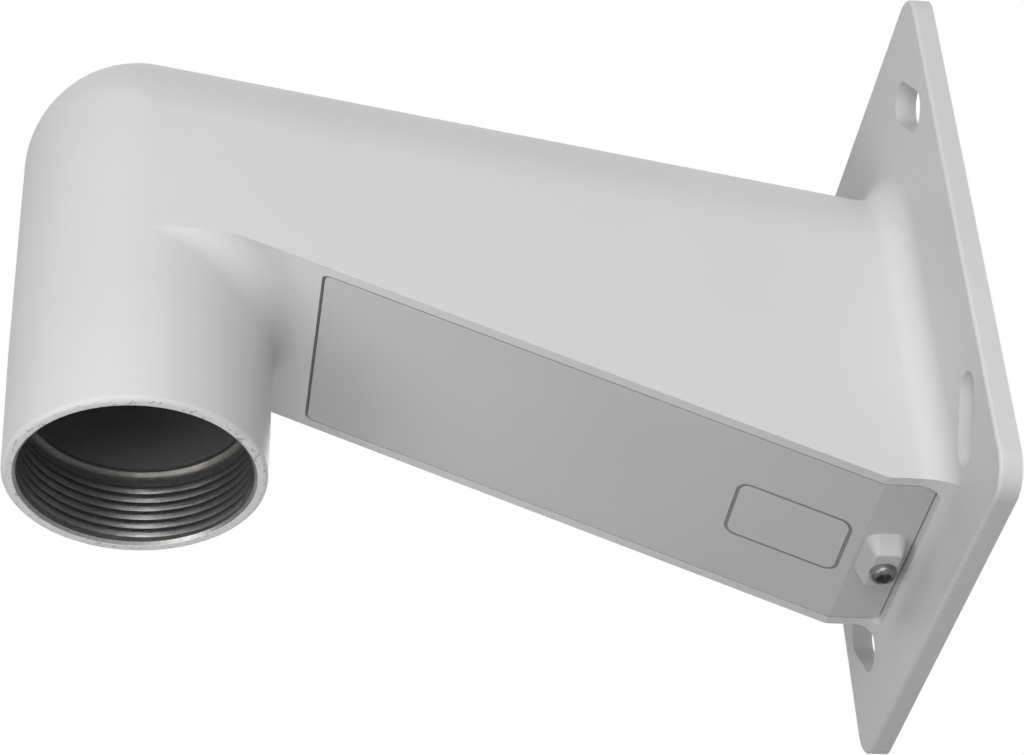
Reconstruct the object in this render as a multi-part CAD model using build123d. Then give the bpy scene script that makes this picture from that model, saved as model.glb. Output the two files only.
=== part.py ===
from build123d import *
import math
import os

os.makedirs("parts", exist_ok=True)

# Frame: the origin is the centre of the wall plate's back face, X points out of the wall, Z up.
# Wall plate
plate_width = 110.0
plate_height = 131.0
plate_thickness = 4.6
plate_corner_radius = 7.0
plate_edge_round = 0.8

# Slanted wall slots
slot_spacing_across = 83.6
slot_spacing_up = 84.0
slot_width = 9.2
slot_length = 19.2
slot_tilt = 36.0

# Arm: a half-round roof on flat sides, rising from the wall to the elbow
arm_axis_height = 12.6
arm_rise = 10.25
arm_root_round = 6.0
casting_wall = 4.2

# Underside: level at the wall, then a rising slope to the neck
underside_drop = 46.4
bend_reach = 17.2
underside_rise = 22.67
neck_root_round = 6.0

# Elbow and neck
neck_reach = 166.0
mouth_drop = 35.0
elbow_core = 2.4
elbow_side_flat = 0.4
neck_draft = 0.4
neck_draft_height = 28.0
mouth_edge_round = 1.0

# Pipe thread bore in the neck, cut to the thread's outer diameter; the wall round it sets the arm's width
thread_radius = 24.1
neck_wall = 3.3
thread_depth = 17.8
mouth_chamfer = 0.7

# Cover over the cable channel
cover_side_wall = 2.8
cover_start = 6.2
cover_end = 129.3
cover_thickness = 2.4
cover_corner_round = 1.5
side_gap = 0.3
wall_end_gap = 0.3
neck_end_gap = 0.7

# Tongue that hooks the cover behind the casting's floor at the neck end
tongue_width = 30.0
tongue_thickness = 2.0
tongue_hook = 5.0
tongue_root = 6.0
tongue_gap = 0.3

# Label field: a shallow groove on the cover, measured along the slope from the bend
field_near = 2.4
field_length = 25.4
field_width = 18.4
field_corner_round = 3.0
groove_width = 0.8
groove_depth = 0.4

# Screw boss under the level end of the cover
boss_length = 8.9
boss_width = 14.8
boss_height = 4.3
boss_draft = 20.0
boss_corner_round = 1.0
boss_face_round = 0.6
screw_reach = 12.0

# Screw, its hole in the cover and its pad in the casting
screw_radius = 1.5
screw_length = 14.0
head_radius = 2.85
head_face_radius = 2.1
head_height = 1.9
head_crown = 0.2
socket_width = 2.5
socket_depth = 1.2
screw_clearance = 0.2
thread_clearance = 0.05
pad_height = 8.0
pad_reach = 19.0

# How far cutting bodies run past the faces that they cut
overrun = 20.0

rise_slope = math.tan(math.radians(arm_rise))
underside_slope = math.tan(math.radians(underside_rise))
arm_direction = Vector(math.cos(math.radians(arm_rise)), 0, math.sin(math.radians(arm_rise)))
arm_up = Vector(-arm_direction.Z, 0, arm_direction.X)
corner = Vector(neck_reach, 0, arm_axis_height + neck_reach * rise_slope)
elbow_turn = 90 + arm_rise
core_run = elbow_core * math.tan(math.radians(elbow_turn / 2))
turning_point = Vector(neck_reach + elbow_core, 0, corner.Z + core_run)
level_z = -underside_drop
mouth_z = -mouth_drop
pad_top = level_z + cover_thickness + pad_height
slope_cos = math.cos(math.radians(underside_rise))
slope_sin = math.sin(math.radians(underside_rise))
arm_half_width = thread_radius + neck_wall
cover_half_width = arm_half_width - cover_side_wall
ledge = casting_wall - cover_side_wall


def underside_z(x):
    """Height of the sloped underside at a distance x from the wall."""
    return level_z + (x - bend_reach) * underside_slope


def slope_point(along, above):
    """Side-view point at a distance along the slope from the bend and square above the underside."""
    x = bend_reach + along * slope_cos - above * slope_sin
    return (x, level_z + along * slope_sin + above * slope_cos)


def side_prism(points, half_width):
    """Solid with the given outline in the XZ plane, as wide to each side of the middle."""
    outline = make_face(Polyline(*points, close=True))
    return extrude(Plane.XZ * outline, half_width, both=True)


def arch(radius, depth):
    """Half disc on top of a rectangle that reaches down by the depth."""
    left, right = (-radius, 0), (radius, 0)
    roof = ThreePointArc(left, (0, radius), right)
    sides = Polyline(right, (radius, -depth), (-radius, -depth), left)
    return make_face(roof + sides)


def gooseneck(radius):
    """Arm and neck with round outer halves and flat sides, joined by a rounded mitre at the elbow."""
    depth = arm_axis_height + underside_drop + overrun
    mitre = Plane(corner, x_dir=(0, 1, 0), z_dir=(arm_direction + Vector(0, 0, -1)).normalized())
    arm_end = Plane(turning_point - arm_up * elbow_core, x_dir=(0, 1, 0), z_dir=arm_direction)
    arm_length = neck_reach / arm_direction.X + core_run + overrun
    arm = extrude(arm_end * arch(radius, depth), -arm_length)
    arm = split(arm, bisect_by=mitre, keep=Keep.BOTTOM)
    neck_top = Plane((neck_reach, 0, turning_point.Z), x_dir=(0, 1, 0), z_dir=(0, 0, -1))
    neck = extrude(neck_top * arch(radius, depth), turning_point.Z - mouth_z)
    neck = split(neck, bisect_by=mitre, keep=Keep.TOP)
    reach = math.sqrt(radius ** 2 - (elbow_core + elbow_side_flat) ** 2)
    left, right = (-reach, elbow_side_flat), (reach, elbow_side_flat)
    cap_plane = Plane(turning_point, x_dir=(0, 1, 0), z_dir=arm_direction)
    cap_arc = ThreePointArc(left, (0, radius - elbow_core), right)
    cap_base = Polyline(right, (reach, 0), (-reach, 0), left)
    cap = revolve(cap_plane * make_face(cap_arc + cap_base), Axis(turning_point, (0, 1, 0)), elbow_turn)
    return arm + neck + cap


def under_void():
    """Space below the underside and outside the round neck, with its inner corner rounded."""
    low = level_z - underside_drop - overrun
    wide = arm_half_width + overrun
    points = [(-overrun, level_z), (bend_reach, level_z), (neck_reach, underside_z(neck_reach)),
              (neck_reach, low), (-overrun, low)]
    neck = Pos(neck_reach, 0, low) * extrude(Circle(arm_half_width), corner.Z - low)
    void = side_prism(points, wide) - neck
    rim = [edge for edge in void.edges().filter_by(GeomType.ELLIPSE)]
    return fillet(rim, neck_root_round)


def draft_ring():
    """What the neck loses towards its mouth, where it narrows for the mould and ends in a rounded rim."""
    wide = arm_half_width + overrun
    rim = arm_half_width - neck_draft
    inner = (rim - mouth_edge_round, mouth_z)
    outer = (rim, mouth_z + mouth_edge_round)
    bend = mouth_edge_round * (1 - math.sqrt(0.5))
    edge = ThreePointArc(inner, (rim - bend, mouth_z + bend), outer)
    top = mouth_z + neck_draft_height
    rest = Polyline(outer, (arm_half_width, top), (wide, top), (wide, mouth_z - overrun),
                    (inner[0], mouth_z - overrun), inner)
    return Pos(neck_reach, 0, 0) * revolve(Plane.XZ * make_face(edge + rest), Axis.Z)


def wall_plate():
    """Rounded plate that lies on the wall, with its front edge broken."""
    outline = Plane.YZ * RectangleRounded(plate_width, plate_height, plate_corner_radius)
    plate = extrude(outline, plate_thickness)
    front = plate.faces().sort_by(Axis.X)[-1]
    return fillet(front.edges(), plate_edge_round)


def slots():
    """Four slots, their outer ends leaning towards the middle."""
    cuts = []
    for side in (-1, 1):
        for level in (-1, 1):
            centre = Pos(side * slot_spacing_across / 2, level * slot_spacing_up / 2)
            turn = Rot(0, 0, 90 + side * level * slot_tilt)
            shape = SlotOverall(slot_length, slot_width)
            cuts.append(extrude(Plane.YZ * centre * turn * shape, plate_thickness + arm_root_round))
    return cuts


def cable_channel():
    """Hollow of the arm and neck, above the screw pad and the floor beside the neck."""
    radius = arm_half_width - casting_wall
    high = corner.Z + radius
    floor_end = neck_reach + radius
    floor = casting_wall / slope_cos
    points = [(-overrun, pad_top), (pad_reach, pad_top), (pad_reach, underside_z(pad_reach) + floor),
              (floor_end, underside_z(floor_end) + floor), (floor_end, high), (-overrun, high)]
    hollow = gooseneck(radius)
    bore = Pos(neck_reach, 0, mouth_z) * extrude(Circle(radius), turning_point.Z - mouth_z)
    return (hollow & side_prism(points, arm_half_width)) + (bore & hollow)


def cover_outline(wall_gap, neck_gap, depth, drop):
    """Side view of the cover: its gaps at the ends, its depth inwards, and how far a cut runs out below."""
    half_turn = math.tan(math.radians(underside_rise / 2))
    start = cover_start - wall_gap
    end = (cover_end - bend_reach) / slope_cos + neck_gap
    return [(start, level_z - drop), (bend_reach + drop * half_turn, level_z - drop), slope_point(end, -drop),
            slope_point(end, depth), (bend_reach - depth * half_turn, level_z + depth), (start, level_z + depth)]


def cover_plan(wall_gap, neck_gap, gap):
    """Tall block with rounded corners, as seen from below, that trims the cover or its recess."""
    start = cover_start - wall_gap
    end = cover_end + neck_gap
    low = level_z - overrun
    plan = RectangleRounded(end - start, 2 * (cover_half_width + gap), cover_corner_round + gap)
    return Pos((start + end) / 2, 0, low) * extrude(plan, corner.Z - low)


def cover_recess():
    """Recess that the cover lies in, with its run-out through the root round."""
    outline = cover_outline(wall_end_gap, neck_end_gap, cover_thickness, overrun)
    return side_prism(outline, arm_half_width) & cover_plan(wall_end_gap, neck_end_gap, side_gap)


def access_opening():
    """Opening inside the recess, narrower by the ledge that carries the cover."""
    end = (cover_end - bend_reach) / slope_cos - ledge
    points = [(pad_reach, level_z - overrun), slope_point(end, -overrun), slope_point(end, casting_wall + overrun),
              (pad_reach, underside_z(pad_reach) + casting_wall + overrun)]
    return side_prism(points, arm_half_width - casting_wall)


def thread_bore():
    """Bore at the thread's outer diameter, with a chamfered mouth."""
    shoulder = mouth_z + thread_depth
    wide = thread_radius + mouth_chamfer
    points = [(0, mouth_z), (wide, mouth_z), (thread_radius, mouth_z + mouth_chamfer), (thread_radius, shoulder),
              (0, shoulder)]
    return Pos(neck_reach, 0, 0) * revolve(Plane.XZ * make_face(Polyline(*points, close=True)), Axis.Z)


def upright(radius, low, high):
    """Vertical cylinder on the screw's axis."""
    return Pos(screw_reach, 0, low) * extrude(Circle(radius), high - low)


def bracket_casting():
    """Wall plate, hollow arm, elbow and threaded neck in one casting."""
    body = split(gooseneck(arm_half_width), bisect_by=Plane.YZ, keep=Keep.TOP)
    body = body - under_void() - draft_ring() + wall_plate()
    front = [face for face in body.faces().filter_by(Axis.X) if face.inner_wires()][0]
    body = fillet(front.inner_wires()[0].edges(), arm_root_round)
    body = body - slots() - cable_channel() - cover_recess() - access_opening() - thread_bore()
    return body - upright(screw_radius + thread_clearance, level_z, pad_top + overrun)


def cover_boss():
    """Tapered boss under the level end that the screw's head sits on, its corners and its face rounded."""
    slant = math.tan(math.radians(boss_draft))
    sections = Sketch()
    for above in (-boss_height, cover_thickness / 2):
        length = boss_length + 2 * above * slant
        width = boss_width + 2 * above * slant
        corner_round = boss_corner_round + (above + boss_height) * slant
        sections += Pos(screw_reach, 0, level_z + above) * RectangleRounded(length, width, corner_round)
    boss = loft(sections)
    return fillet(boss.faces().sort_by(Axis.Z)[0].edges(), boss_face_round)


def label_groove():
    """Shallow groove round the bare label field on the sloped face."""
    centre = slope_point(field_near + field_length / 2, 0)
    face = Plane((centre[0], 0, centre[1]), x_dir=(slope_cos, 0, slope_sin), z_dir=(-slope_sin, 0, slope_cos))
    outer = RectangleRounded(field_length, field_width, field_corner_round)
    inner = RectangleRounded(field_length - 2 * groove_width, field_width - 2 * groove_width,
                             field_corner_round - groove_width)
    return extrude(face * (outer - inner), groove_depth, both=True)


def cover_tongue():
    """Stepped tongue that reaches through the opening and hooks over the floor beside the neck."""
    edge = (cover_end - bend_reach) / slope_cos - ledge - tongue_gap
    under = casting_wall + tongue_gap
    top = under + tongue_thickness
    low = cover_thickness / 2
    points = [slope_point(edge - tongue_root, low), slope_point(edge, low), slope_point(edge, under),
              slope_point(edge + tongue_hook, under), slope_point(edge + tongue_hook, top),
              slope_point(edge - tongue_root, top)]
    return side_prism(points, tongue_width / 2)


def access_cover():
    """Bent cover of the cable channel, with its boss, label field and tongue."""
    body = side_prism(cover_outline(0, 0, cover_thickness, 0), cover_half_width) & cover_plan(0, 0, 0)
    body = body + cover_boss() + cover_tongue()
    body = body - label_groove()
    return body - upright(screw_radius + screw_clearance, level_z - boss_height, level_z + cover_thickness)


def cover_screw():
    """Button-head screw with a six-sided socket, head down."""
    seat = level_z - boss_height
    face = seat - head_height
    crown = (head_radius - head_crown, seat - head_height / 2)
    dome = ThreePointArc((head_face_radius, face), crown, (head_radius, seat))
    tip = seat + screw_length
    rest = Polyline((head_radius, seat), (screw_radius, seat), (screw_radius, tip), (0, tip), (0, face))
    body = revolve(Plane.XZ * make_face(Line((0, face), (head_face_radius, face)) + dome + rest), Axis.Z)
    socket = RegularPolygon(socket_width / 2, 6, major_radius=False)
    hole = Pos(0, 0, face) * extrude(socket, socket_depth)
    return Pos(screw_reach, 0, 0) * (body - hole)


nodes = {
    "bracket_casting": bracket_casting(),
    "access_cover": access_cover(),
    "cover_screw": cover_screw(),
}
for name, solid in nodes.items():
    export_step(solid, f"parts/{name}.step")
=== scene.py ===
import math

import bpy
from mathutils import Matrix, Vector


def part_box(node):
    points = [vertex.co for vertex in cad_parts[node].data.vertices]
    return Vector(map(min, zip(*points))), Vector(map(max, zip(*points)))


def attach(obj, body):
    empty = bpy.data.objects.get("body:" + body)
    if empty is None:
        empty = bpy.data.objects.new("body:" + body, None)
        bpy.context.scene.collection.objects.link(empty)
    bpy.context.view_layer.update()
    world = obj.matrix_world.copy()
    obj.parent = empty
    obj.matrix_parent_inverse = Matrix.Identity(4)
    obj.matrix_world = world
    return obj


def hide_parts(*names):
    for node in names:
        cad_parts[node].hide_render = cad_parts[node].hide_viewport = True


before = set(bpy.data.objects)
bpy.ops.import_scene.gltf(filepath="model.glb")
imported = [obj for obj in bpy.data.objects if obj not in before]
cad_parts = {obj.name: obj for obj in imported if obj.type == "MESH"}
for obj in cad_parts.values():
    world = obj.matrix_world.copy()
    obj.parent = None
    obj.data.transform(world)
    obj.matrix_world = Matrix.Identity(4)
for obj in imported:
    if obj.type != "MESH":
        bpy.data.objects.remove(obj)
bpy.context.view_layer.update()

bl_info = {
    "name": "Gooseneck wall bracket",
    "version": (1, 0, 0),
    "blender": (4, 5, 0),
    "location": "3D View > Sidebar > Bracket",
    "description": "Finishes the packed bracket: painted casting and cover, machined thread, steel screw",
    "category": "Object",
}

# Sizes in metres and slopes in degrees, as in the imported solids
MM = 0.001
screw_low, screw_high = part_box("cover_screw")
neck_reach = 0.166
mouth_z = -0.035
bend_reach = 0.0172
level_z = -0.0464
underside_rise = 22.67
arm_rise = 10.25
arm_axis_z = 0.0126

# How the painted surfaces catch the light
coat_gloss = 0.4
coat_bump = 0.35
coat_bump_depth = 0.06 * MM


class BracketPaint(bpy.types.PropertyGroup):
    """Paint on the casting and its cover, and the bare metals."""
    paint: bpy.props.FloatVectorProperty(
        name="Paint", description="Light grey coat on the outside", subtype="COLOR", size=3, min=0, max=1,
        default=(0.63, 0.635, 0.63))
    shade: bpy.props.FloatVectorProperty(
        name="Shade", description="Slightly darker grey where the coat lies thinner", subtype="COLOR", size=3,
        min=0, max=1, default=(0.585, 0.59, 0.587))
    # Bare metal colour for the rim's pits and the hollow; its dark tone is partly painted shade in the unlit
    # hollow of the arm and neck
    bare: bpy.props.FloatVectorProperty(
        name="Bare metal", description="Cast aluminium inside the arm and neck", subtype="COLOR", size=3,
        min=0, max=1, default=(0.16, 0.158, 0.155))
    cover_paint: bpy.props.FloatVectorProperty(
        name="Cover paint", description="Coat on the cover, a little darker than the casting's",
        subtype="COLOR", size=3, min=0, max=1, default=(0.53, 0.533, 0.528))
    cut: bpy.props.FloatVectorProperty(
        name="Cut metal", description="Machined aluminium of the thread", subtype="COLOR", size=3, min=0,
        max=1, default=(0.62, 0.61, 0.6))
    steel: bpy.props.FloatVectorProperty(
        name="Steel", description="Lighter tone of the screw's steel", subtype="COLOR", size=3, min=0, max=1,
        default=(0.36, 0.355, 0.35))
    steel_dark: bpy.props.FloatVectorProperty(
        name="Dark steel", description="Darker tone of the screw's steel", subtype="COLOR", size=3, min=0,
        max=1, default=(0.12, 0.119, 0.117))
    grain: bpy.props.FloatProperty(
        name="Grain", description="Size of the grains of the sprayed coat", subtype="DISTANCE", unit="LENGTH",
        min=0.0001, max=0.005, default=0.0007)
    roughness: bpy.props.FloatProperty(
        name="Roughness", description="Roughness of the satin coat", subtype="FACTOR", min=0, max=1,
        default=0.42)


class NeckThread(bpy.types.PropertyGroup):
    """Sizes of the pipe thread inside the neck."""
    reach: bpy.props.FloatProperty(
        name="Reach", description="Distance of the neck's axis from the wall", subtype="DISTANCE",
        unit="LENGTH", min=0.05, max=0.5, default=neck_reach)
    mouth: bpy.props.FloatProperty(
        name="Mouth", description="Height of the neck's mouth", subtype="DISTANCE", unit="LENGTH", min=-0.5,
        max=0.5, default=mouth_z)
    outer: bpy.props.FloatProperty(
        name="Outer radius", description="Radius at the bottom of the thread's grooves", subtype="DISTANCE",
        unit="LENGTH", min=0.01, max=0.05, default=0.0241)
    inner: bpy.props.FloatProperty(
        name="Inner radius", description="Radius at the crests of the ridges", subtype="DISTANCE",
        unit="LENGTH", min=0.01, max=0.05, default=0.0237)
    pitch: bpy.props.FloatProperty(
        name="Pitch", description="Rise of the thread in one turn", subtype="DISTANCE", unit="LENGTH",
        min=0.0005, max=0.01, default=0.00221)
    start: bpy.props.FloatProperty(
        name="Start", description="Smooth band between the mouth and the first ridge", subtype="DISTANCE",
        unit="LENGTH", min=0, max=0.02, default=0.0013)
    turns: bpy.props.IntProperty(
        name="Turns", description="Number of turns of the thread", min=1, max=20, default=6)


class ScrewSizes(bpy.types.PropertyGroup):
    """Sizes of the cover's button-head screw."""
    shank: bpy.props.FloatProperty(
        name="Shank radius", description="Radius of the screw's shank", subtype="DISTANCE", unit="LENGTH",
        min=0.0005, max=0.01, default=0.0015)
    dome: bpy.props.FloatProperty(
        name="Dome round", description="Round of the head's rim", subtype="DISTANCE", unit="LENGTH",
        min=0.0001, max=0.005, default=0.0011)
    head: bpy.props.FloatProperty(
        name="Head height", description="Height of the screw's head", subtype="DISTANCE", unit="LENGTH",
        min=0.0005, max=0.01, default=0.0019)
    drive: bpy.props.FloatProperty(
        name="Drive radius", description="Mean radius of the six-lobed recess", subtype="DISTANCE",
        unit="LENGTH", min=0.0003, max=0.005, default=0.0017)
    lobe: bpy.props.FloatProperty(
        name="Lobe", description="How far the recess swings in and out, as a share of its radius",
        subtype="FACTOR", min=0, max=0.5, default=0.14)
    recess: bpy.props.FloatProperty(
        name="Recess depth", description="Depth of the drive recess", subtype="DISTANCE", unit="LENGTH",
        min=0.0002, max=0.005, default=0.0015)


class StudioStage(bpy.types.PropertyGroup):
    """Camera, lamps and floor."""
    lens: bpy.props.FloatProperty(
        name="Lens", description="Focal length of the camera", subtype="DISTANCE_CAMERA", unit="CAMERA",
        min=10, max=300, default=92.3)
    floor: bpy.props.FloatProperty(
        name="Floor height", description="Height of the floor below the bracket", subtype="DISTANCE",
        unit="LENGTH", min=-3, max=-0.1, default=-0.9)
    ambient: bpy.props.FloatProperty(
        name="Ambient", description="Strength of the even light from all sides", min=0, max=2, default=0.09)
    glow: bpy.props.FloatProperty(
        name="Floor glow", description="How much brighter the floor looks to the camera", min=0, max=2,
        default=0.62)
    back: bpy.props.FloatProperty(
        name="Back lamp", description="Power of the lamp behind the bracket", subtype="POWER", unit="POWER",
        min=0, max=500, default=7.0)
    key: bpy.props.FloatProperty(
        name="Key lamp", description="Power of the large lamp beside the camera", subtype="POWER",
        unit="POWER", min=0, max=500, default=11.0)
    low: bpy.props.FloatProperty(
        name="Low lamp", description="Power of the lamp below the camera", subtype="POWER", unit="POWER",
        min=0, max=500, default=2.6)
    under: bpy.props.FloatProperty(
        name="Under lamp", description="Power of the narrow lamp below the neck", subtype="POWER",
        unit="POWER", min=0, max=500, default=0.018)
    front: bpy.props.FloatProperty(
        name="Front lamp", description="Power of the lamp in front of the neck", subtype="POWER",
        unit="POWER", min=0, max=500, default=0.8)
    top: bpy.props.FloatProperty(
        name="Top lamp", description="Power of the lamp over the bracket", subtype="POWER", unit="POWER",
        min=0, max=500, default=2.2)


def feed(tree, spot, value):
    """Gives a node's input its value: a socket to link, a number, or a colour of three numbers."""
    if isinstance(value, bpy.types.NodeSocket):
        tree.links.new(value, spot)
    elif isinstance(value, (int, float)):
        spot.default_value = value
    else:
        spot.default_value = (*value, 1.0)


def calculator(tree):
    """Function that adds a math node to the tree and returns its output; it takes sockets and numbers."""
    def calc(operation, *values):
        node = tree.nodes.new("ShaderNodeMath")
        node.operation = operation
        for spot, value in zip(node.inputs, values):
            feed(tree, spot, value)
        return node.outputs[0]
    return calc


def clamped(calc, value):
    """The value, held between 0 and 1."""
    return calc("MINIMUM", calc("MAXIMUM", value, 0.0), 1.0)


def diagonal(calc, first, second):
    """Distance that two lengths at right angles make."""
    return calc("SQRT", calc("MULTIPLY_ADD", first, first, calc("MULTIPLY", second, second)))


def above_slope(calc, along, above, degrees):
    """Height above a line that rises at an angle, at right angles to it."""
    angle = calc("RADIANS", degrees)
    lean = calc("MULTIPLY", along, calc("SINE", angle))
    return calc("SUBTRACT", calc("MULTIPLY", above, calc("COSINE", angle)), lean)


def coordinates(tree, vector):
    """The three coordinates in a vector socket."""
    node = tree.nodes.new("ShaderNodeSeparateXYZ")
    tree.links.new(vector, node.inputs[0])
    return node.outputs


def noise(tree, vector, scale, detail, roughness):
    """Noise node on a vector socket; returns its value."""
    node = tree.nodes.new("ShaderNodeTexNoise")
    for name, value in (("Vector", vector), ("Scale", scale), ("Detail", detail), ("Roughness", roughness)):
        feed(tree, node.inputs[name], value)
    return node.outputs["Fac"]


def blend_colour(tree, factor, first, second):
    """Mix of two colours; each is a socket or three numbers."""
    node = tree.nodes.new("ShaderNodeMix")
    node.data_type = "RGBA"
    for name, kind, value in (("Factor", "VALUE", factor), ("A", "RGBA", first), ("B", "RGBA", second)):
        feed(tree, next(s for s in node.inputs if s.name == name and s.type == kind), value)
    return next(s for s in node.outputs if s.type == "RGBA")


def darker(colour, share):
    """The colour with each channel times the share."""
    return [share * channel for channel in colour]


def new_group(name, inputs, outputs):
    """Shader node group with a vector and number inputs and its outputs; returns it and its end nodes."""
    group = bpy.data.node_groups.new(name, "ShaderNodeTree")
    group.interface.new_socket(name="Vector", in_out="INPUT", socket_type="NodeSocketVector")
    for label, value in inputs.items():
        spot = group.interface.new_socket(name=label, in_out="INPUT", socket_type="NodeSocketFloat")
        spot.default_value = value
    for label in outputs:
        group.interface.new_socket(name=label, in_out="OUTPUT", socket_type="NodeSocketFloat")
    return group, group.nodes.new("NodeGroupInput"), group.nodes.new("NodeGroupOutput")


def make_coat_group():
    """Sprayed coat: fine grain, soft patches and tiny specks."""
    group, ins, outs = new_group("sprayed_coat", {"Grains per metre": 1400.0, "Roughness": 0.42},
                                 ("Patches", "Roughness", "Height"))
    calc = calculator(group)
    vector, grains, roughness = ins.outputs[:3]
    middle = 0.5
    speck_limit, speck_gain = 0.73, 0.5
    patch_gain, patch_base, grain_gain = 1.3, 0.35, 0.4
    grain_roughness, patch_roughness = 0.22, 0.06
    grain_height, wave_height = 0.55, 0.9
    peel = noise(group, vector, grains, detail=2.0, roughness=0.5)
    wave = noise(group, vector, 140.0, detail=2.0, roughness=0.45)
    patch = noise(group, vector, 26.0, detail=3.0, roughness=0.5)
    speck = calc("GREATER_THAN", noise(group, vector, 2600.0, detail=1.0, roughness=0.5), speck_limit)
    patches = calc("MULTIPLY_ADD", calc("SUBTRACT", patch, middle), patch_gain, patch_base)
    patches = calc("ADD", patches, calc("MULTIPLY", speck, speck_gain))
    patches = calc("ADD", patches, calc("MULTIPLY_ADD", peel, grain_gain, -grain_gain * middle))
    group.links.new(clamped(calc, patches), outs.inputs["Patches"])
    rough = calc("MULTIPLY_ADD", calc("SUBTRACT", peel, middle), grain_roughness, roughness)
    group.links.new(calc("MULTIPLY_ADD", patch, patch_roughness, rough), outs.inputs["Roughness"])
    height = calc("MULTIPLY_ADD", peel, grain_height, calc("MULTIPLY", wave, wave_height))
    group.links.new(height, outs.inputs["Height"])


def make_rings_group():
    """Machined metal: fine rings round an upright axis, broken along their way, and rough specks."""
    group, ins, outs = new_group("machined_rings", {"Axis x": neck_reach, "Rings per metre": 9000.0},
                                 ("Tone", "Height"))
    calc = calculator(group)
    vector, axis, per_metre = ins.outputs[:3]
    breaks_per_radian = 3.0
    ring_tone, speck_tone, dark_tone = 0.7, 1.5, -0.62
    speck_height = 0.25
    x, y, z = coordinates(group, vector)
    along = calc("SUBTRACT", x, axis)
    round_axis = group.nodes.new("ShaderNodeCombineXYZ")
    turn = calc("ARCTAN2", y, along)
    group.links.new(calc("MULTIPLY", diagonal(calc, along, y), per_metre), round_axis.inputs["X"])
    group.links.new(calc("MULTIPLY", z, per_metre), round_axis.inputs["Y"])
    group.links.new(calc("MULTIPLY", turn, breaks_per_radian), round_axis.inputs["Z"])
    rings = noise(group, round_axis.outputs[0], 1.0, detail=2.0, roughness=0.6)
    specks = noise(group, vector, 1500.0, detail=3.0, roughness=0.65)
    tone = calc("MULTIPLY_ADD", rings, ring_tone, calc("MULTIPLY_ADD", specks, speck_tone, dark_tone))
    group.links.new(clamped(calc, tone), outs.inputs["Tone"])
    group.links.new(calc("MULTIPLY_ADD", specks, speck_height, rings), outs.inputs["Height"])


def make_zones_group():
    """Masks for the hollow of the arm and neck, for the neck's cut bore and for its rim."""
    group, ins, outs = new_group(
        "bracket_zones",
        {"Reach": neck_reach, "Split radius": 0.0253, "Axis height": arm_axis_z, "Rise": arm_rise,
         "Mouth": mouth_z, "Cut depth": 0.0178},
        ("Inside", "Cut", "Rim"))
    calc = calculator(group)
    vector, reach, split, axis, rise, mouth, depth = ins.outputs[:7]
    floor_z = -0.0433
    hollow_top = 0.0455
    rim_radius = 0.0275
    above_shoulder, above_mouth = 0.0009, 0.00012
    x, y, z = coordinates(group, vector)
    along = calc("SUBTRACT", x, reach)
    from_neck = diagonal(calc, along, y)
    over = above_slope(calc, x, calc("SUBTRACT", z, axis), rise)
    from_arm = diagonal(calc, calc("MAXIMUM", over, 0.0), y)
    in_arm = calc("MULTIPLY", calc("LESS_THAN", from_arm, split), calc("LESS_THAN", along, 0.0))
    floor_slope = math.tan(math.radians(underside_rise))
    floor_line = calc("MULTIPLY_ADD", calc("SUBTRACT", x, bend_reach), floor_slope, floor_z)
    over_floor = calc("GREATER_THAN", z, calc("MAXIMUM", floor_line, floor_z))
    in_arm = calc("MULTIPLY", in_arm, over_floor)
    in_neck = calc("MULTIPLY", calc("LESS_THAN", from_neck, split), calc("LESS_THAN", z, hollow_top))
    group.links.new(calc("MAXIMUM", in_arm, in_neck), outs.inputs["Inside"])
    shoulder = calc("ADD", calc("ADD", mouth, depth), above_shoulder)
    off_face = calc("GREATER_THAN", z, calc("ADD", mouth, above_mouth))
    in_bore = calc("MULTIPLY", calc("LESS_THAN", z, shoulder), in_neck)
    group.links.new(calc("MULTIPLY", in_bore, off_face), outs.inputs["Cut"])
    on_face = calc("SUBTRACT", 1.0, off_face)
    rim = calc("MULTIPLY", calc("LESS_THAN", from_neck, rim_radius), on_face)
    group.links.new(rim, outs.inputs["Rim"])


def make_groove_group():
    """Mask for the floor of the shallow groove on the cover's sloped face: dust there, and painted shade in
    the groove.
    """
    group, ins, outs = new_group(
        "groove_dust_and_shade", {"Bend x": bend_reach, "Bend z": level_z, "Slope": underside_rise}, ("Floor",))
    calc = calculator(group)
    vector, bend_x, bend_z, slope = ins.outputs[:4]
    shallowest, deepest = 0.00025, 0.0006
    nearest, farthest, half_width = 0.001, 0.028, 0.012
    dust_and_shade_gain, dust_and_shade_base = 0.7, 0.4
    x, y, z = coordinates(group, vector)
    along = calc("SUBTRACT", x, bend_x)
    depth = above_slope(calc, along, calc("SUBTRACT", z, bend_z), slope)
    mask = calc("LESS_THAN", calc("ABSOLUTE", y), half_width)
    for test, value, limit in (("GREATER_THAN", depth, shallowest), ("LESS_THAN", depth, deepest),
                               ("GREATER_THAN", along, nearest), ("LESS_THAN", along, farthest)):
        mask = calc("MULTIPLY", mask, calc(test, value, limit))
    # Grainy share of the groove floor to darken: dust, and painted shade where the groove's walls shade it
    grain = noise(group, vector, 900.0, detail=2.0, roughness=0.5)
    mask = calc("MULTIPLY", mask, calc("MULTIPLY_ADD", grain, dust_and_shade_gain, dust_and_shade_base))
    group.links.new(mask, outs.inputs["Floor"])


def placed_group(tree, name, vector, values):
    """Node of the named group with its values set and its vector joined."""
    node = tree.nodes.new("ShaderNodeGroup")
    node.node_tree = bpy.data.node_groups[name]
    tree.links.new(vector, node.inputs["Vector"])
    for label, value in values.items():
        node.inputs[label].default_value = value
    return node


def new_material(name):
    """Material with a Principled shader; returns it, its tree, the shader and the Object coordinates."""
    material = bpy.data.materials.new(name)
    material.use_nodes = True
    tree = material.node_tree
    shader = tree.nodes["Principled BSDF"]
    place = tree.nodes.new("ShaderNodeTexCoord")
    return material, tree, shader, place.outputs["Object"]


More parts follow.
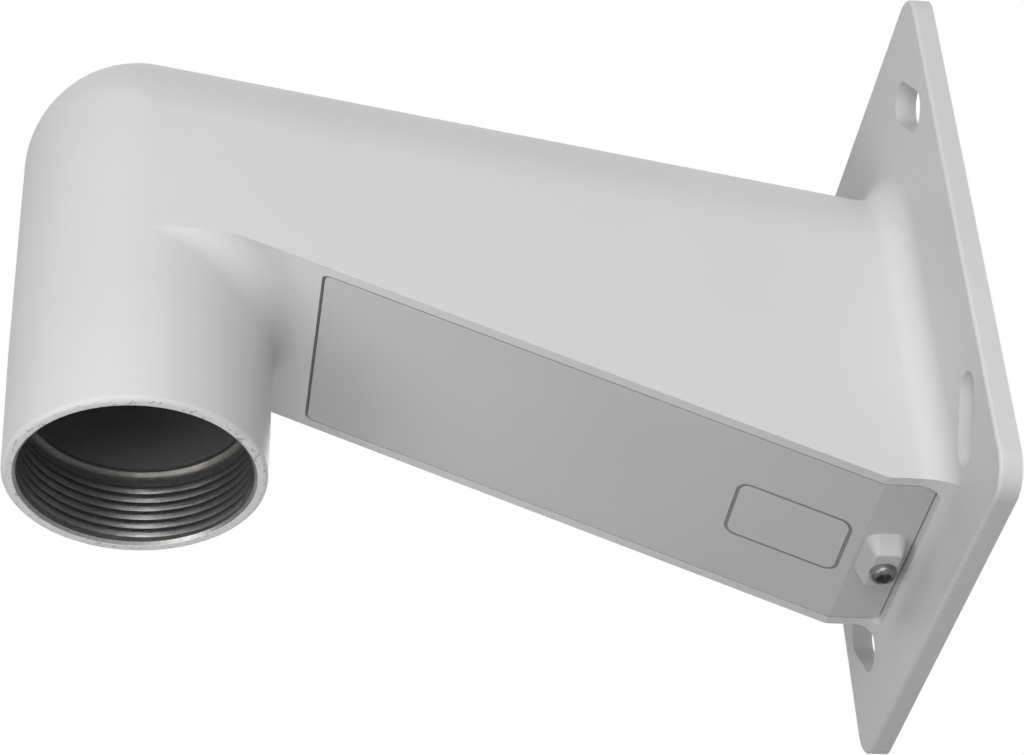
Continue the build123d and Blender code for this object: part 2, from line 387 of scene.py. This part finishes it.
def bump(tree, shader, height, strength, distance):
    """Bump node from a height socket to the shader's normal."""
    node = tree.nodes.new("ShaderNodeBump")
    node.inputs["Strength"].default_value = strength
    node.inputs["Distance"].default_value = distance
    tree.links.new(height, node.inputs["Height"])
    tree.links.new(node.outputs["Normal"], shader.inputs["Normal"])


def casting_material(paint, thread):
    """Satin grey coat with pits on the neck's rim, dull cast metal in the hollow given darker as painted
    shade, machined bore.
    """
    material, tree, shader, vector = new_material("painted_casting")
    calc = calculator(tree)
    pit_limit, pit_strength = 0.62, 0.55
    bore_metal, bore_smoothing, bore_height = 0.9, -0.1, 0.8
    coat = placed_group(tree, "sprayed_coat", vector,
                        {"Grains per metre": 1.0 / paint.grain, "Roughness": paint.roughness})
    rings = placed_group(tree, "machined_rings", vector, {"Axis x": thread.reach})
    zones = placed_group(tree, "bracket_zones", vector, {"Reach": thread.reach, "Mouth": thread.mouth})
    hollow, bore, rim = zones.outputs["Inside"], zones.outputs["Cut"], zones.outputs["Rim"]
    outside = blend_colour(tree, coat.outputs["Patches"], paint.paint, paint.shade)
    pits = noise(tree, vector, 1100.0, detail=2.0, roughness=0.6)
    pits = calc("MULTIPLY", calc("GREATER_THAN", pits, pit_limit), pit_strength)
    outside = blend_colour(tree, calc("MULTIPLY", pits, rim), outside, paint.bare)
    # The hollow's colour: bare cast metal, given much darker than it is as painted shade inside the unlit arm
    # and neck
    inside = blend_colour(tree, coat.outputs["Patches"], paint.bare, darker(paint.bare, 0.6))
    machined = blend_colour(tree, rings.outputs["Tone"], darker(paint.cut, 0.5), paint.cut)
    colour = blend_colour(tree, calc("MULTIPLY", hollow, calc("SUBTRACT", 1.0, rim)), outside, inside)
    colour = blend_colour(tree, bore, colour, machined)
    tree.links.new(colour, shader.inputs["Base Color"])
    tree.links.new(calc("MULTIPLY", bore, bore_metal), shader.inputs["Metallic"])
    rough = calc("ADD", coat.outputs["Roughness"], calc("MULTIPLY", bore, bore_smoothing))
    tree.links.new(rough, shader.inputs["Roughness"])
    ring_height = calc("MULTIPLY", calc("MULTIPLY", bore, rings.outputs["Height"]), bore_height)
    bump(tree, shader, calc("ADD", coat.outputs["Height"], ring_height), coat_bump, coat_bump_depth)
    shader.inputs["Specular IOR Level"].default_value = coat_gloss
    return material


def cover_material(paint):
    """The same coat on the cover, sprayed apart from the casting, with dust and painted shade in the groove.
    """
    material, tree, shader, vector = new_material("painted_cover")
    finer, duller = 1.1, 0.03
    coat = placed_group(tree, "sprayed_coat", vector,
                        {"Grains per metre": finer / paint.grain, "Roughness": paint.roughness + duller})
    groove = placed_group(tree, "groove_dust_and_shade", vector, {})
    colour = blend_colour(tree, coat.outputs["Patches"], paint.cover_paint, darker(paint.cover_paint, 0.93))
    # Groove floor darkened: dust, and painted shade standing for the shade inside the groove
    colour = blend_colour(tree, groove.outputs["Floor"], colour, darker(paint.cover_paint, 0.35))
    tree.links.new(colour, shader.inputs["Base Color"])
    tree.links.new(coat.outputs["Roughness"], shader.inputs["Roughness"])
    bump(tree, shader, coat.outputs["Height"], coat_bump, coat_bump_depth)
    shader.inputs["Specular IOR Level"].default_value = coat_gloss
    return material


def turned_metal(name, values, dark, light, spread, strength, depth):
    """Metal with rings from the cutting tool; its roughness rises with the tone by the spread."""
    smoothest = 0.3
    material, tree, shader, vector = new_material(name)
    rings = placed_group(tree, "machined_rings", vector, values)
    tone = rings.outputs["Tone"]
    tree.links.new(blend_colour(tree, tone, dark, light), shader.inputs["Base Color"])
    shader.inputs["Metallic"].default_value = 0.9
    rough = calculator(tree)("MULTIPLY_ADD", tone, spread, smoothest)
    tree.links.new(rough, shader.inputs["Roughness"])
    bump(tree, shader, rings.outputs["Height"], strength, depth)
    return material


def thread_material(paint, thread):
    """Machined aluminium of the thread's ridges."""
    return turned_metal("cut_thread", {"Axis x": thread.reach, "Rings per metre": 7000.0},
                        darker(paint.cut, 0.3), darker(paint.cut, 0.6), spread=0.14, strength=0.9,
                        depth=0.06 * MM)


def screw_material(paint):
    """Plain steel with rings left by the lathe."""
    axis = (screw_low.x + screw_high.x) / 2
    return turned_metal("screw_steel", {"Axis x": axis, "Rings per metre": 6000.0},
                        paint.steel_dark, paint.steel, spread=0.2, strength=0.25, depth=0.04 * MM)


def give(node, material):
    """Puts one material in every slot of a CAD node's object."""
    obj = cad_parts[node]
    for spot in obj.material_slots:
        spot.material = material
    if not obj.material_slots:
        obj.data.materials.append(material)


def pick(obj, kind, wanted):
    """In edit mode, selects only the points or the faces for which the test is true."""
    bpy.ops.mesh.select_mode(type=kind)
    bpy.ops.mesh.select_all(action="DESELECT")
    bpy.ops.object.mode_set(mode="OBJECT")
    for part in obj.data.vertices if kind == "VERT" else obj.data.polygons:
        part.select = wanted(part)
    bpy.ops.object.mode_set(mode="EDIT")


def face_outwards(obj):
    """Turns all faces of a closed mesh outwards, going by its signed volume, and leaves edit mode."""
    bpy.ops.mesh.select_all(action="SELECT")
    bpy.ops.mesh.normals_make_consistent(inside=False)
    bpy.ops.object.mode_set(mode="OBJECT")
    if sum(face.center.dot(face.normal) * face.area for face in obj.data.polygons) < 0:
        bpy.ops.object.mode_set(mode="EDIT")
        bpy.ops.mesh.flip_normals()
        bpy.ops.object.mode_set(mode="OBJECT")


def settle(obj, place, smooth_angle):
    """Moves a finished mesh to its place, with the object at the origin, and smooths its soft edges."""
    obj.location = place
    bpy.ops.object.transform_apply(location=True, rotation=True, scale=True)
    bpy.ops.object.shade_smooth_by_angle(angle=math.radians(smooth_angle))


def drawn_loop(name, points):
    """Closed line drawn point by point: one point is moved to the start and extruded from place to place."""
    same_place = 1e-7
    bpy.ops.object.select_all(action="DESELECT")
    bpy.ops.mesh.primitive_plane_add(size=MM, location=(0, 0, 0))
    obj = bpy.context.object
    obj.name = name
    bpy.ops.object.mode_set(mode="EDIT")
    bpy.ops.mesh.select_mode(type="VERT")
    bpy.ops.mesh.select_all(action="SELECT")
    bpy.ops.mesh.merge(type="CENTER")
    bpy.ops.transform.translate(value=points[0])
    for start, end in zip(points, points[1:]):
        bpy.ops.mesh.extrude_vertices_move(TRANSFORM_OT_translate={"value": end - start})
    pick(obj, "VERT", lambda v: min((v.co - end).length for end in (points[0], points[-1])) < same_place)
    bpy.ops.mesh.edge_face_add()
    bpy.ops.object.mode_set(mode="OBJECT")
    return obj


def cut_thread(sizes):
    """Ridges of the neck's thread: one drawn section turned up a helix, its ends run out into the wall."""
    in_wall = sizes.outer + 0.15 * MM
    at_wall = sizes.outer - 0.02 * MM
    foot = 0.49 * sizes.pitch
    crest = 0.12 * sizes.pitch
    steps = 120
    run_out = steps // 5
    welded = 1e-6
    low = sizes.mouth + sizes.start
    top = low + sizes.turns * sizes.pitch
    half_section = ((in_wall, foot), (at_wall, foot), (sizes.inner, crest))
    section = [(radius, -above) for radius, above in half_section] + list(reversed(half_section))
    obj = drawn_loop("neck_thread_ridges", [Vector((radius, 0, low + above)) for radius, above in section])
    turn = obj.modifiers.new("turns", "SCREW")
    turn.axis = "Z"
    turn.angle = math.tau
    turn.screw_offset = sizes.pitch
    turn.iterations = sizes.turns
    turn.steps = steps
    turn.render_steps = steps
    bpy.ops.object.modifier_apply(modifier="turns")
    bpy.ops.object.mode_set(mode="EDIT")
    bpy.ops.mesh.select_all(action="SELECT")
    bpy.ops.mesh.remove_doubles(threshold=welded)
    bpy.ops.mesh.fill_holes(sides=8)
    for step in range(run_out):
        share = 1 - step / run_out
        grow = 1 + share * (in_wall - sizes.inner) / sizes.inner
        for level, way in ((low, 1), (top, -1)):
            angle = way * step * math.tau / steps
            centre = level + angle / math.tau * sizes.pitch
            aim = Vector((math.cos(angle), math.sin(angle)))
            pick(obj, "VERT", lambda v: abs(v.co.z - centre) < 0.5 * sizes.pitch
                 and (v.co.xy.normalized() - aim).length < 0.5 * math.tau / steps)
            bpy.ops.transform.resize(value=(grow, grow, 1), center_override=(0, 0, 0))
    face_outwards(obj)
    settle(obj, (sizes.reach, 0, 0), smooth_angle=40)
    return obj


def turn_screw(sizes):
    """Screw with a rounded head and a six-lobed recess, turned from one round bar."""
    lobes, lobe_steps = 6, 12
    half_lobe = lobe_steps // 2
    taper = 0.93
    near = 1e-6
    same_phase = 0.2
    centre = (screw_low + screw_high) / 2
    radius = (screw_high.x - screw_low.x) / 2
    face = screw_low.z
    seat = face + sizes.head
    bpy.ops.object.select_all(action="DESELECT")
    bpy.ops.mesh.primitive_cylinder_add(vertices=lobes * lobe_steps, radius=radius, depth=sizes.head,
                                        location=(0, 0, (face + seat) / 2))
    obj = bpy.context.object
    obj.name = "cover_screw_turned"
    bpy.ops.object.transform_apply(location=True, rotation=True, scale=True)
    bpy.ops.object.mode_set(mode="EDIT")
    pick(obj, "FACE", lambda f: f.normal.z > 0.9)
    bpy.ops.mesh.inset(thickness=radius - sizes.shank, depth=0)
    bpy.ops.mesh.extrude_region_move(TRANSFORM_OT_translate={"value": (0, 0, screw_high.z - seat)})
    pick(obj, "FACE", lambda f: f.normal.z < -0.9 and f.center.z < face + near)
    bpy.ops.mesh.bevel(offset=sizes.dome, segments=7, profile=0.5, affect="EDGES")

    def lobe_phase(place):
        """Steps round the axis from the nearest lobe's crest."""
        steps = math.atan2(place.y, place.x) / math.tau * lobes * lobe_steps
        return abs((steps + half_lobe) % lobe_steps - half_lobe)

    def face_disc(part):
        """Whether a face is the flat disc in the middle of the head."""
        return part.normal.z < -0.999 and len(part.vertices) > 8 and abs(part.center.z - face) < near

    pick(obj, "FACE", face_disc)
    bpy.ops.mesh.inset(thickness=radius - sizes.dome - sizes.drive, depth=0)
    for phase in range(half_lobe + 1):
        swing = 1 + sizes.lobe * math.cos(math.tau * phase / lobe_steps)
        pick(obj, "VERT", lambda v: abs(v.co.z - face) < near
             and abs(v.co.xy.length - sizes.drive) < 10 * near
             and abs(lobe_phase(v.co) - phase) < same_phase)
        bpy.ops.transform.resize(value=(swing, swing, 1), center_override=(0, 0, face))
    pick(obj, "FACE", face_disc)
    bpy.ops.mesh.extrude_region_move(TRANSFORM_OT_translate={"value": (0, 0, sizes.recess)})
    bpy.ops.transform.resize(value=(taper, taper, 1), center_override=(0, 0, face))
    face_outwards(obj)
    settle(obj, (centre.x, centre.y, 0), smooth_angle=30)
    return obj


def check_faces(obj, fewest):
    """Stops the script where a piece came out with fewer faces than its form needs."""
    if len(obj.data.polygons) < fewest:
        raise RuntimeError(f"{obj.name} came out without all its faces")


class GOOSENECK_OT_mix_finishes(bpy.types.Operator):
    """Makes the node groups that the materials share"""
    bl_idname = "gooseneck.mix_finishes"
    bl_label = "Mix finishes"

    def execute(self, context):
        make_coat_group()
        make_rings_group()
        make_zones_group()
        make_groove_group()
        return {"FINISHED"}


class GOOSENECK_OT_paint_casting(bpy.types.Operator):
    """Gives the casting its coat, its bare hollow darkened as painted shade, and its machined bore"""
    bl_idname = "gooseneck.paint_casting"
    bl_label = "Paint casting"

    def execute(self, context):
        give("bracket_casting", casting_material(context.scene.bracket_paint, context.scene.neck_thread))
        return {"FINISHED"}


class GOOSENECK_OT_paint_cover(bpy.types.Operator):
    """Gives the cover its coat"""
    bl_idname = "gooseneck.paint_cover"
    bl_label = "Paint cover"

    def execute(self, context):
        give("access_cover", cover_material(context.scene.bracket_paint))
        return {"FINISHED"}


class GOOSENECK_OT_turn_screw(bpy.types.Operator):
    """Models the cover's screw with its drive recess, in place of the plain one"""
    bl_idname = "gooseneck.turn_screw"
    bl_label = "Turn screw"

    def execute(self, context):
        screw = turn_screw(context.scene.screw_sizes)
        check_faces(screw, fewest=500)
        steel = screw_material(context.scene.bracket_paint)
        screw.data.materials.append(steel)
        give("cover_screw", steel)
        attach(screw, "root")
        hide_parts("cover_screw")
        return {"FINISHED"}


class GOOSENECK_OT_cut_thread(bpy.types.Operator):
    """Models the ridges of the pipe thread in the neck"""
    bl_idname = "gooseneck.cut_thread"
    bl_label = "Cut thread"

    def execute(self, context):
        ridges = cut_thread(context.scene.neck_thread)
        check_faces(ridges, fewest=1000)
        ridges.data.materials.append(thread_material(context.scene.bracket_paint, context.scene.neck_thread))
        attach(ridges, "root")
        return {"FINISHED"}


def photo_camera(lens):
    """Camera at the photo's place, near the neck and below it, in metres and degrees."""
    turns = (127.26314, 2.64076, 172.10211)
    bpy.ops.object.camera_add(location=(0.16432, 0.44016, -0.34401))
    camera = bpy.context.object
    camera.name = "photo_camera"
    camera.rotation_euler = [math.radians(turn) for turn in turns]
    camera.data.lens = lens
    camera.data.sensor_width = 36
    camera.data.clip_start = 10 * MM
    bpy.context.scene.camera = camera


def soft_lamp(name, power, place, aim, size):
    """Square area lamp that points at a place."""
    bpy.ops.object.light_add(type="AREA", location=place)
    lamp = bpy.context.object
    lamp.name = name
    lamp.data.shape = "SQUARE"
    lamp.data.size = size
    lamp.data.energy = power
    lamp.visible_camera = False
    lamp.rotation_euler = (Vector(aim) - Vector(place)).to_track_quat("-Z", "Y").to_euler()
    return lamp


def white_world(ambient):
    """Even light, and plain white wherever the camera or a reflection looks past the object."""
    world = bpy.data.worlds.new("studio")
    bpy.context.scene.world = world
    world.use_nodes = True
    tree = world.node_tree
    tree.nodes.clear()
    calc = calculator(tree)
    path = tree.nodes.new("ShaderNodeLightPath")
    seen = calc("MAXIMUM", path.outputs["Is Camera Ray"], path.outputs["Is Glossy Ray"])
    seen = calc("MAXIMUM", seen, path.outputs["Is Transmission Ray"])
    mixed = tree.nodes.new("ShaderNodeMixShader")
    tree.links.new(seen, mixed.inputs[0])
    for spot, strength in ((mixed.inputs[1], ambient), (mixed.inputs[2], 1.0)):
        light = tree.nodes.new("ShaderNodeBackground")
        light.inputs["Color"].default_value = (1, 1, 1, 1)
        light.inputs["Strength"].default_value = strength
        tree.links.new(light.outputs[0], spot)
    out = tree.nodes.new("ShaderNodeOutputWorld")
    tree.links.new(mixed.outputs[0], out.inputs["Surface"])


def floor_material(glow):
    """Pale floor that looks brighter to the camera than its lamps make it."""
    light_grey, grey = [0.86] * 3, [0.84] * 3
    least_glow = 0.02
    material, tree, shader, vector = new_material("floor_pale")
    patches = noise(tree, vector, 2.0, detail=2.0, roughness=0.5)
    tree.links.new(blend_colour(tree, patches, light_grey, grey), shader.inputs["Base Color"])
    shader.inputs["Roughness"].default_value = 0.9
    shader.inputs["Emission Color"].default_value = (1, 1, 1, 1)
    path = tree.nodes.new("ShaderNodeLightPath")
    seen = calculator(tree)("MULTIPLY_ADD", path.outputs["Is Camera Ray"], glow, least_glow)
    tree.links.new(seen, shader.inputs["Emission Strength"])
    return material


class GOOSENECK_OT_build_stage(bpy.types.Operator):
    """Sets the camera, the lamps, the even light and the floor"""
    bl_idname = "gooseneck.build_stage"
    bl_label = "Build stage"

    def execute(self, context):
        stage = context.scene.studio_stage
        bpy.ops.object.select_all(action="DESELECT")
        photo_camera(stage.lens)
        white_world(stage.ambient)
        arm, neck, mouth = (0.09, 0, 0), (0.14, 0, 0), (0.155, 0, 0)
        soft_lamp("key_lamp", stage.key, place=(0.35, 1.3, 0.15), aim=arm, size=1.2)
        soft_lamp("low_lamp", stage.low, place=(0.33, 0.9, -0.42), aim=arm, size=0.3)
        soft_lamp("front_lamp", stage.front, place=(0.48, 0.22, -0.34), aim=neck, size=0.3)
        under = soft_lamp("under_lamp", stage.under, place=(0.2, -0.14, -0.5), aim=mouth, size=0.1)
        under.data.spread = math.radians(34)
        soft_lamp("top_lamp", stage.top, place=(0.3, -0.2, 1.3), aim=arm, size=1.4)
        soft_lamp("back_lamp", stage.back, place=(-0.6, -1.05, 0.5), aim=arm, size=0.6)
        bpy.ops.mesh.primitive_plane_add(size=12, location=(0, 0, stage.floor))
        floor = context.object
        floor.name = "floor"
        bpy.ops.object.transform_apply(location=True, rotation=True, scale=True)
        floor.data.materials.append(floor_material(stage.glow))
        context.scene.view_settings.view_transform = "Standard"
        return {"FINISHED"}


class GOOSENECK_PT_panel(bpy.types.Panel):
    """Sizes, colours and steps in the sidebar"""
    bl_idname = "GOOSENECK_PT_panel"
    bl_label = "Gooseneck bracket"
    bl_space_type = "VIEW_3D"
    bl_region_type = "UI"
    bl_category = "Bracket"

    def draw(self, context):
        scene = context.scene
        for group in (scene.bracket_paint, scene.neck_thread, scene.screw_sizes, scene.studio_stage):
            box = self.layout.box()
            for name in group.__annotations__:
                box.prop(group, name)
        for step in steps_in_order:
            self.layout.operator(step.bl_idname)


settings = (BracketPaint, NeckThread, ScrewSizes, StudioStage)
steps_in_order = (GOOSENECK_OT_mix_finishes, GOOSENECK_OT_build_stage, GOOSENECK_OT_paint_casting,
                  GOOSENECK_OT_paint_cover, GOOSENECK_OT_turn_screw, GOOSENECK_OT_cut_thread)


def register():
    for item in (*settings, *steps_in_order, GOOSENECK_PT_panel):
        bpy.utils.register_class(item)
    bpy.types.Scene.bracket_paint = bpy.props.PointerProperty(type=BracketPaint)
    bpy.types.Scene.neck_thread = bpy.props.PointerProperty(type=NeckThread)
    bpy.types.Scene.screw_sizes = bpy.props.PointerProperty(type=ScrewSizes)
    bpy.types.Scene.studio_stage = bpy.props.PointerProperty(type=StudioStage)


def unregister():
    del bpy.types.Scene.studio_stage
    del bpy.types.Scene.screw_sizes
    del bpy.types.Scene.neck_thread
    del bpy.types.Scene.bracket_paint
    for item in reversed((*settings, *steps_in_order, GOOSENECK_PT_panel)):
        bpy.utils.unregister_class(item)


def main():
    """Registers the add-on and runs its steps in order."""
    register()
    bpy.ops.gooseneck.mix_finishes()
    bpy.ops.gooseneck.build_stage()
    bpy.ops.gooseneck.paint_casting()
    bpy.ops.gooseneck.paint_cover()
    bpy.ops.gooseneck.turn_screw()
    bpy.ops.gooseneck.cut_thread()


if __name__ == "__main__":
    main()
